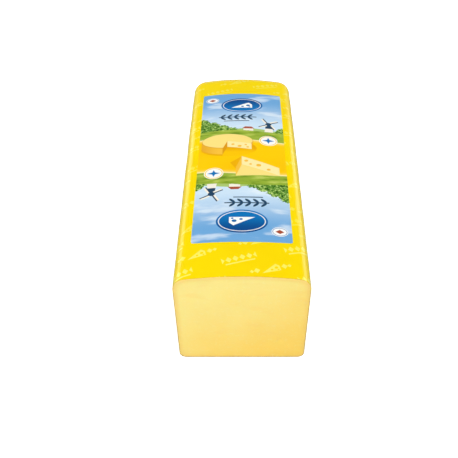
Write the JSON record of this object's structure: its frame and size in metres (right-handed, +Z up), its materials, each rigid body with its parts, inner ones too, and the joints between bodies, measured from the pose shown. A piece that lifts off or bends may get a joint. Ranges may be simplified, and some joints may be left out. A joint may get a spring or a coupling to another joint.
{
  "type": "gouda cheese block",
  "caption": "Long loaf of pale gouda cheese in glossy yellow film, with a crowned top and a rounded end, cut square at the other end, and a picture label along the top.",
  "frame": {"origin": "centre of the footprint, on the surface that the loaf lies on", "axes": "+Y from the cut face to the rounded end, +Z up through the label, +X to the right of someone facing the cut face"},
  "size_m": [0.1, 0.305, 0.0943],
  "materials": {
    "cheese": "smooth, slightly moist cut cheese",
    "film": "glossy printed film",
    "label": "semi-gloss printed label"
  },
  "bodies": {
    "root": {"cheese_block": "cheese", "film_wrap": "film", "top_label": "label"}
  },
  "joints": []
}
